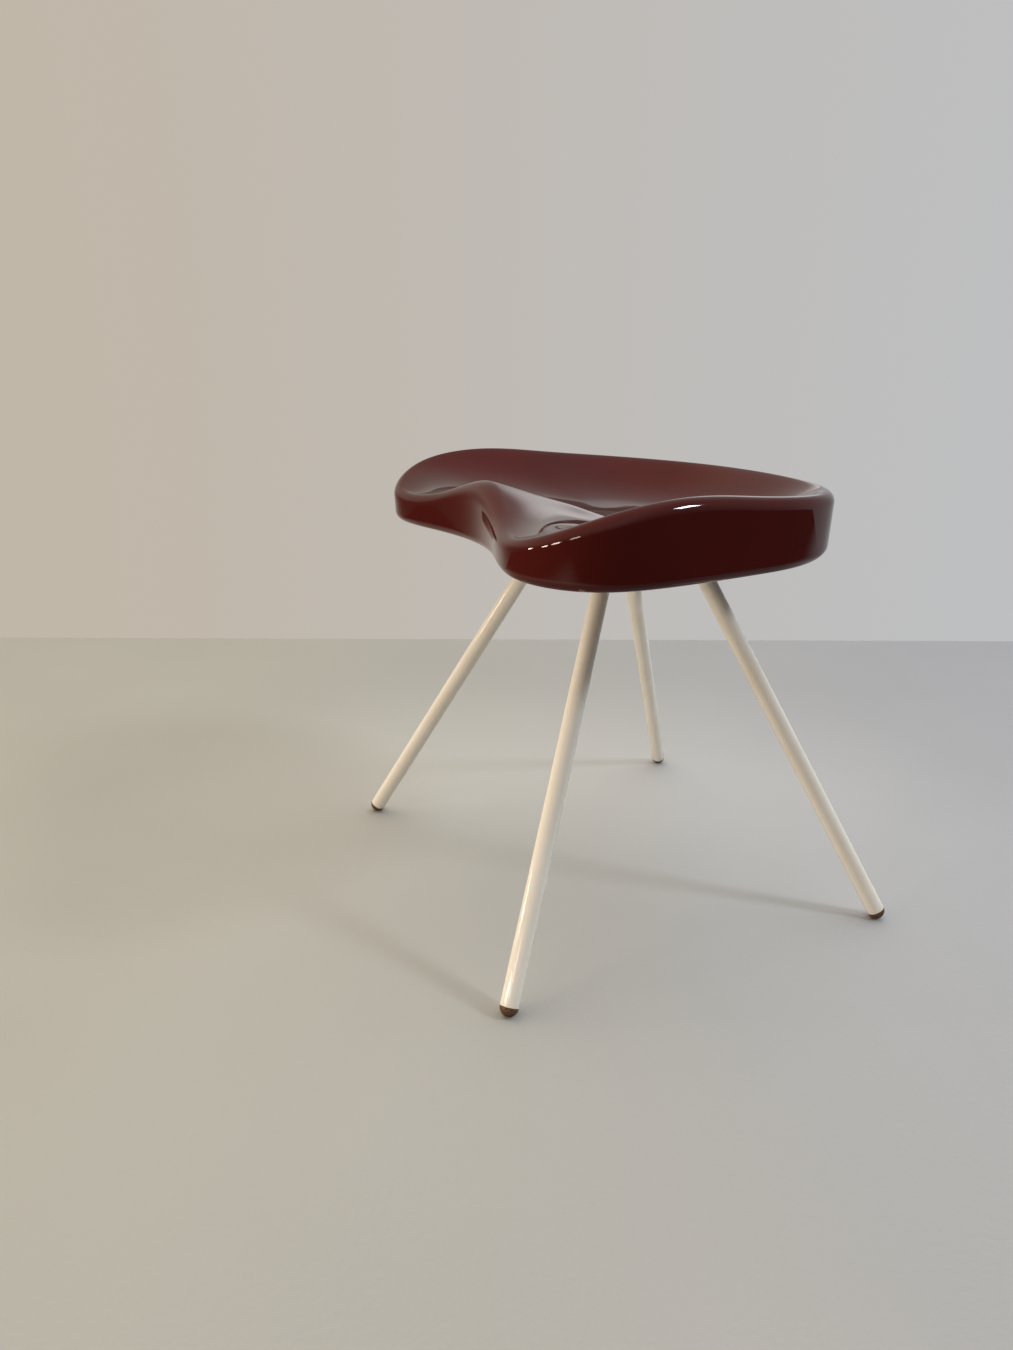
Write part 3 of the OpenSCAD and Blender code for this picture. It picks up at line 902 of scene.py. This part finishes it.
class StoolPlate(bpy.types.Operator):
    """Builds the plate with rounded edges and drilled holes, and a weld round each leg"""

    bl_idname = "stool.plate"
    bl_label = "Leg plate"

    def execute(self, context):
        sizes = context.scene.stool_legs
        finish = enamel(context.scene.stool_colours)
        self.plate(sizes, finish)
        for side in SIDES:
            self.weld(sizes, finish, side)
        return {"FINISHED"}

    def plate(self, sizes, finish):
        """The plate: its rounded rim, the walls of its holes, then its two flat sides."""
        half = Vector((PLATE_HIGH.x, PLATE_HIGH.y))
        edge = sizes.plate_edge
        low, high = PLATE_LOW.z, PLATE_HIGH.z

        def outline(inset):
            radius = sizes.plate_corner - inset
            corner = np.array([half.x - inset - radius, half.y - inset - radius])
            points = []
            for quarter, (sx, sy) in enumerate(((1, 1), (-1, 1), (-1, -1), (1, -1))):
                for turn in np.linspace(0, math.pi / 2, 13) + quarter * math.pi / 2:
                    way = np.array([math.cos(turn), math.sin(turn)])
                    points.append(corner * (sx, sy) + radius * way)
            return np.array(points)

        rings = []
        turns = np.linspace(0, math.pi / 2, 5)
        for surface, rise, order in ((low, edge, turns), (high, -edge, turns[::-1])):
            for turn in order:
                flat = outline(edge * (1 - math.sin(turn)))
                rings.append(raised(flat, surface + rise * (1 - math.cos(turn))))
        points, faces = loft(rings)
        count, walls = len(rings[0]), 24
        loops = [[list(range(count))], [list(range(len(points) - count, len(points)))]]
        for middle in bolt_middles(sizes):
            start = len(points)
            for level, height in enumerate((low, high)):
                loops[level].append(list(range(len(points), len(points) + walls)))
                points = np.vstack([points, circle(sizes.hole / 2, height, walls) + middle])
            for i in range(walls):
                k = (i + 1) % walls
                faces.append((start + k, start + i, start + walls + i, start + walls + k))
        for level, height in enumerate((low, high)):
            grid = self.between(sizes, half, height)
            loose = list(range(len(points), len(points) + len(grid)))
            points = np.vstack([points, grid])
            faces += self.flat_side(points, loops[level], loose, level == 1)
        drilled = (points, faces)
        piece("mounting_plate", drilled, [finish], ["leg_plate"], crease=40.0)

    @staticmethod
    def between(sizes, half, height):
        """Points spread evenly over a flat side of the plate, clear of its edge and its holes."""
        step, clear = 0.006, 0.003
        across, along = np.arange(-half.x, half.x, step), np.arange(-half.y, half.y, step)
        spread = np.array([(x + step / 2, y + step / 2) for x in across for y in along])
        inner = np.array([half.x, half.y]) - sizes.plate_corner
        past = np.maximum(np.abs(spread) - inner, 0.0)
        keep = np.hypot(past[:, 0], past[:, 1]) < sizes.plate_corner - clear
        bolt = np.abs(spread) - np.array([sizes.bolt_x, sizes.bolt_y]) / 2
        keep &= np.hypot(bolt[:, 0], bolt[:, 1]) > sizes.hole / 2 + clear / 2
        return raised(spread[keep], height)

    @staticmethod
    def flat_side(points, loops, loose, upper):
        """Triangles of one flat side of the plate, open at its holes."""
        indices = [index for loop in loops for index in loop] + loose
        edges, holes, start = [], [], 0
        for loop in loops:
            count = len(loop)
            edges += [(start + i, start + (i + 1) % count) for i in range(count)]
            holes.append(range(start, start + count))
            start += count
        flat = [Vector(points[index][:2]) for index in indices]
        made = delaunay_2d_cdt(flat, edges, [], 0, 1e-7)[2]
        inside = [face for face in made if not any(all(i in hole for i in face) for hole in holes[1:])]
        return [tuple(indices[i] for i in (face if upper else face[::-1])) for face in inside]

    @staticmethod
    def weld(sizes, finish, side):
        """A rippled fillet weld in the corner between a tube and the plate."""
        count, beads = 144, 22
        place, root = footprint(sizes, side, count)
        _, toe = footprint(sizes, side, count, sizes.weld)
        ripple = 1.0 + 0.10 * np.cos(np.arange(count) * 2 * math.pi * beads / count) ** 3
        rings = []
        for turn in np.linspace(0, math.pi / 2, 7):
            swell = (0.80 + 0.20 * abs(math.cos(2 * turn))) * ripple
            ring = root + (math.cos(turn) * swell)[:, None] * (toe - root)
            ring[:, 2] -= math.sin(turn) * swell * sizes.weld
            rings.append(ring)
        sunk = root.copy()
        sunk[:, :2] *= 0.97
        rings.append(sunk)
        piece(f"weld_{side}", loft(rings[::-1], seam=True), [finish], (), place, 60.0)


class StoolFasteners(bpy.types.Operator):
    """Builds the four washers and the four button-head bolts with hexagon sockets"""

    bl_idname = "stool.fasteners"
    bl_label = "Bolts and washers"

    def execute(self, context):
        sizes = context.scene.stool_legs
        finish = zinc(context.scene.stool_colours)
        low, high = WASHER_LOW.z, WASHER_HIGH.z
        for name, (points, faces), node in (
            ("button_bolts", self.bolt(sizes, low), "plate_bolts"),
            ("flat_washers", self.washer(sizes, low, high), "plate_washers"),
        ):
            four = joined([(points + middle, faces) for middle in bolt_middles(sizes)])
            piece(name, four, [finish], [node])
        return {"FINISHED"}

    @staticmethod
    def bolt(sizes, seat):
        """A bolt with its domed head under the washer's lower face and its shank above."""
        count = 48
        broken, rim, bevel, chamfer = 0.0001, 0.0004, 0.0007, 0.0003
        face, end = seat - sizes.head_h, seat + sizes.shank_len
        socket_top = face + sizes.hexagon_h
        crown, head, shank = sizes.head * 0.30, sizes.head / 2, sizes.shank / 2
        rings = [
            circle(0, socket_top, count, sizes.hexagon * 0.98),
            circle(0, face + chamfer, count, sizes.hexagon),
            circle(0, face, count, sizes.hexagon + 0.0005),
        ]
        profile = [(crown, face)]
        for turn in np.linspace(0, math.pi / 2, 9)[1:]:
            dome = face + (sizes.head_h - rim) * (1 - math.cos(turn))
            profile.append((crown + (head - crown) * math.sin(turn), dome))
        profile += [(head, seat - broken), (head - broken, seat), (shank, seat)]
        profile += [(shank, end - bevel), (shank - bevel, end)]
        rings += [circle(across, height, count) for across, height in profile]
        return loft(rings, (0, 0, socket_top), (0, 0, end))

    @staticmethod
    def washer(sizes, low, high):
        """A flat washer with broken edges."""
        count, bevel = 48, 0.0002
        hole, rim = sizes.washer_hole / 2, sizes.washer / 2
        profile = [
            (hole, high - bevel),
            (hole, low + bevel),
            (hole + bevel, low),
            (rim - bevel * 2, low),
            (rim, low + bevel * 2),
            (rim, high - bevel),
            (rim - bevel, high),
            (hole + bevel, high),
        ]
        return loft([circle(across, height, count) for across, height in profile], seam=True)


# The studio: the floor's far edge, then the camera's place, aim and lens

WALL_BEHIND = 0.920
WALL_LEAN = 0.0314
EYE = Vector((0.8677, -0.4940, 0.558))
HEADING = 1.1689
PITCH = 0.3222
ROLL = -0.0124
FOCAL_MM = 25.13
# the dark that reflections see behind the camera and beside the stool, also used as painted shade on the
# floor under the seat
DARK_ROOM_AND_SEAT_SHADE = (0.020, 0.014, 0.013)
AHEAD = Vector((-math.sin(HEADING), math.cos(HEADING), 0.0))
RIGHT = Vector((math.cos(HEADING), math.sin(HEADING), 0.0))


def toward(bearing, height):
    """A direction from its bearing, in degrees right of the camera's heading, and its height."""
    turn, rise = math.radians(bearing), math.radians(height)
    flat = math.cos(turn) * AHEAD + math.sin(turn) * RIGHT
    return (math.cos(rise) * flat + Vector((0, 0, math.sin(rise)))).normalized()


class StoolStage(bpy.types.Operator):
    """Sets up the pale floor, the backdrop, the soft light and the camera"""

    bl_idname = "stool.stage"
    bl_label = "Studio"

    def execute(self, context):
        colours = context.scene.stool_colours
        self.camera(context.scene)
        self.floor(colours)
        self.surroundings(context.scene, colours)
        self.lamps(colours)
        return {"FINISHED"}

    @staticmethod
    def camera(scene):
        forward = math.cos(PITCH) * AHEAD - Vector((0, 0, math.sin(PITCH)))
        upright = RIGHT.cross(forward)
        right = math.cos(ROLL) * RIGHT - math.sin(ROLL) * upright
        up = math.sin(ROLL) * RIGHT + math.cos(ROLL) * upright
        data = bpy.data.cameras.new("camera")
        data.sensor_width = 36.0
        data.lens = FOCAL_MM
        data.clip_start = 0.01
        camera = bpy.data.objects.new("camera", data)
        turn = Matrix((right, up, -forward)).transposed()
        camera.matrix_world = Matrix.Translation(EYE) @ turn.to_4x4()
        scene.collection.objects.link(camera)
        scene.camera = camera

    def floor(self, colours):
        """A level sheet that ends at the backdrop."""
        reach = 7.0
        corners = [
            (WALL_BEHIND + side * reach * WALL_LEAN) * AHEAD + side * reach * RIGHT - back * reach * AHEAD
            for side, back in ((-1, 1), (1, 1), (1, 0), (-1, 0))
        ]
        mesh = bpy.data.meshes.new("studio_floor")
        mesh.from_pydata([tuple(corner) for corner in corners], [], [(0, 1, 2, 3)])
        mesh.materials.append(surface_of("pale_floor", lambda graph: self.floor_shader(graph, colours)))
        made = bpy.data.objects.new("studio_floor", mesh)
        bpy.context.scene.collection.objects.link(made)

    @staticmethod
    def floor_shader(graph, colours):
        """Pale, painted brighter round the stool to lift its shadow, the backdrop's colour far off, and
        dim in some reflections, with painted shade under the seat.
        """
        where = graph.place()
        paper = graph.noise(where, 3.0, 4.0)
        far = graph.add("ShaderNodeVectorMath", {"operation": "LENGTH"}, {0: where}, "Value")
        across = where.along(tuple(RIGHT))
        # painted light: the floor is tinted warm on the left and cool on the right, the tints of the warm
        # lamps and the cool window
        pale = graph.blend(across.ease(-0.9, 0.9), tuple(colours.floor), tuple(colours.floor_cool))
        # painted light: the floor is painted up to 1.27 times brighter within 0.75 m of the stool's
        # middle, which lifts the seat's shadow there
        pale = graph.dimmed(pale, 1.0 + 0.27 * far.ease(0.75, 0.10))
        lit = graph.gloss(
            {
                "Base Color": graph.blend(paper.ease(0.3, 0.7), pale, graph.dimmed(pale, 0.97)),
                "Roughness": 0.70 + 0.1 * paper,
                "Specular IOR Level": 0.15,
                "Normal": graph.relief(graph.noise(where, 180.0, 3.0), 0.0004),
            }
        )
        # painted light: the backdrop that the camera sees far off is tinted warm on the left and cool on
        # the right, after the lamps and the window
        warm, cool = tuple(colours.wall_warm), tuple(colours.wall_cool)
        wall = graph.emit(graph.blend((across / far).ease(-0.6, 0.6), warm, cool))
        camera, glossy, diffuse = (graph.ray(kind) for kind in ("Camera", "Glossy", "Diffuse"))
        haze = graph.mix(camera * far.ease(1.3, 2.1), lit, wall)
        # the room behind the camera and beside the stool is dark, and the floor under the seat is painted
        # shade: reflections see it as a dark sheet in place of the seat's shadow
        behind = where.along(tuple(-AHEAD + 0.75 * RIGHT)).ease(0.35, 1.1)
        # painted shade: the last term darkens the floor under the seat in reflections
        aside_and_seat_shade = across.ease(-0.5, -1.3) + 0.5 * across.ease(0.5, 1.1) + 0.65 * far.ease(0.95, 0.45)
        unlit = behind * (glossy + 0.9 * diffuse) + (1.0 - behind) * (glossy * aside_and_seat_shade)
        shown = graph.mix(unlit, haze, graph.emit(DARK_ROOM_AND_SEAT_SHADE))
        # seen from below, the floor is clear
        below = graph.add("ShaderNodeNewGeometry", {}, {}, "Backfacing")
        return graph.mix(camera * below, shown, graph.add("ShaderNodeBsdfTransparent", {}, {}))

    @staticmethod
    def surroundings(scene, colours):
        """Pale walls ahead, a dim ceiling and a dark room behind the camera."""
        world = bpy.data.worlds.new("studio")
        world.use_nodes = True
        scene.world = world
        graph = Graph(world.node_tree)
        ray = graph.add("ShaderNodeTexCoord", {}, {}, "Generated")
        ahead = ray.along(tuple(AHEAD))
        right = ray.along(tuple(RIGHT))
        up = ray.split()[2]
        # the warm and cool tints colour the world's light, and on the backdrop that the camera sees they
        # are painted light
        wall = graph.blend(right.ease(-0.6, 0.6), tuple(colours.wall_warm), tuple(colours.wall_cool))
        # what reflections show
        dim = 1.0 - 0.28 * up.ease(0.20, 0.60) - 0.20 * up.ease(0.55, 0.90)
        unlit = 1.0 - 0.95 * (ahead.ease(0.35, -0.60) * up.ease(0.85, -0.05))
        near_left = right.ease(-0.38, -0.88) * up.ease(0.42, 0.10)
        sides = (1.0 - 0.88 * near_left) * (1.0 - 0.52 * right.ease(0.25, 0.75))
        pane = right.ease(0.04, 0.27) * right.ease(0.45, 0.37) * up.ease(0.13, 0.20) * up.ease(0.52, 0.30)
        pane = 1.0 + 1.7 * pane * ahead.ease(0.0, 0.2)
        room = graph.dimmed(wall, dim * unlit * sides * pane)
        # what lights the stool
        level = up.ease(0.78, 0.24)
        above = 4.6 - 4.1 * ahead.ease(0.30, -0.50)
        glow = above * (1.0 - level) + level * (0.03 + 2.4 * ahead.ease(-0.45, 0.35))
        lit = graph.blend(graph.ray("Diffuse"), room, graph.dimmed(wall, glow))
        seen = {"Color": graph.blend(graph.ray("Camera"), lit, wall), "Strength": 1.0}
        background = graph.add("ShaderNodeBackground", {}, seen)
        graph.add("ShaderNodeOutputWorld", {}, {"Surface": background})

    @staticmethod
    def lamps(colours):
        """A cool window at the right and four warm lamps low at the left, as flat soft panels."""
        aim = Vector((0.0, 0.0, 0.35))
        cool, warm = colours.lamp_cool, colours.lamp_warm
        panels = (
            ("window", 106.5, 38.0, 3.2, (0.48, 0.45), 33.0, cool),
            ("lamp_1", -92.0, 4.0, 3.0, (0.26, 0.24), 8.0, warm),
            ("lamp_2", -112.0, 4.0, 3.0, (0.34, 0.30), 11.0, warm),
            ("lamp_3", -124.0, 8.0, 3.0, (0.50, 0.40), 15.0, warm),
            ("lamp_4", -145.0, 14.0, 3.0, (0.60, 0.46), 8.0, warm),
        )
        for name, bearing, height, distance, size, power, colour in panels:
            data = bpy.data.lights.new(name, "AREA")
            data.shape = "RECTANGLE"
            data.size, data.size_y = size
            data.energy = power
            data.color = tuple(colour)
            lamp = bpy.data.objects.new(name, data)
            way = toward(bearing, height)
            lamp.matrix_world = Matrix.Translation(aim + distance * way) @ (
                way.to_track_quat("Z", "Y").to_matrix().to_4x4()
            )
            bpy.context.scene.collection.objects.link(lamp)


class VIEW3D_PT_stool(bpy.types.Panel):
    """Lists the stool's pieces, in the order that they are built."""

    bl_label = "Saddle stool"
    bl_space_type = "VIEW_3D"
    bl_region_type = "UI"
    bl_category = "Stool"

    def draw(self, context):
        for maker in MAKERS:
            self.layout.operator(maker.bl_idname)
        for group in (context.scene.stool_seat, context.scene.stool_legs, context.scene.stool_colours):
            box = self.layout.box()
            for name in group.__annotations__:
                box.prop(group, name)


MAKERS = (StoolSeat, StoolBlock, StoolPlate, StoolFasteners, StoolLegs, StoolFeet, StoolStage)
GROUPS = {
    "stool_seat": StoolSeatSizes,
    "stool_legs": StoolLegSizes,
    "stool_colours": StoolColours,
}


def register():
    for group in (*GROUPS.values(), *MAKERS, VIEW3D_PT_stool):
        bpy.utils.register_class(group)
    for name, group in GROUPS.items():
        setattr(bpy.types.Scene, name, bpy.props.PointerProperty(type=group))


def unregister():
    for name in GROUPS:
        delattr(bpy.types.Scene, name)
    for group in (VIEW3D_PT_stool, *reversed(MAKERS), *reversed(GROUPS.values())):
        bpy.utils.unregister_class(group)


def main():
    """Builds every piece and the studio."""
    register()
    bpy.context.scene.view_settings.view_transform = "Standard"
    bpy.ops.stool.seat()
    bpy.ops.stool.block()
    bpy.ops.stool.plate()
    bpy.ops.stool.fasteners()
    bpy.ops.stool.legs()
    bpy.ops.stool.feet()
    bpy.ops.stool.stage()
    bpy.context.view_layer.update()


if __name__ == "__main__":
    main()
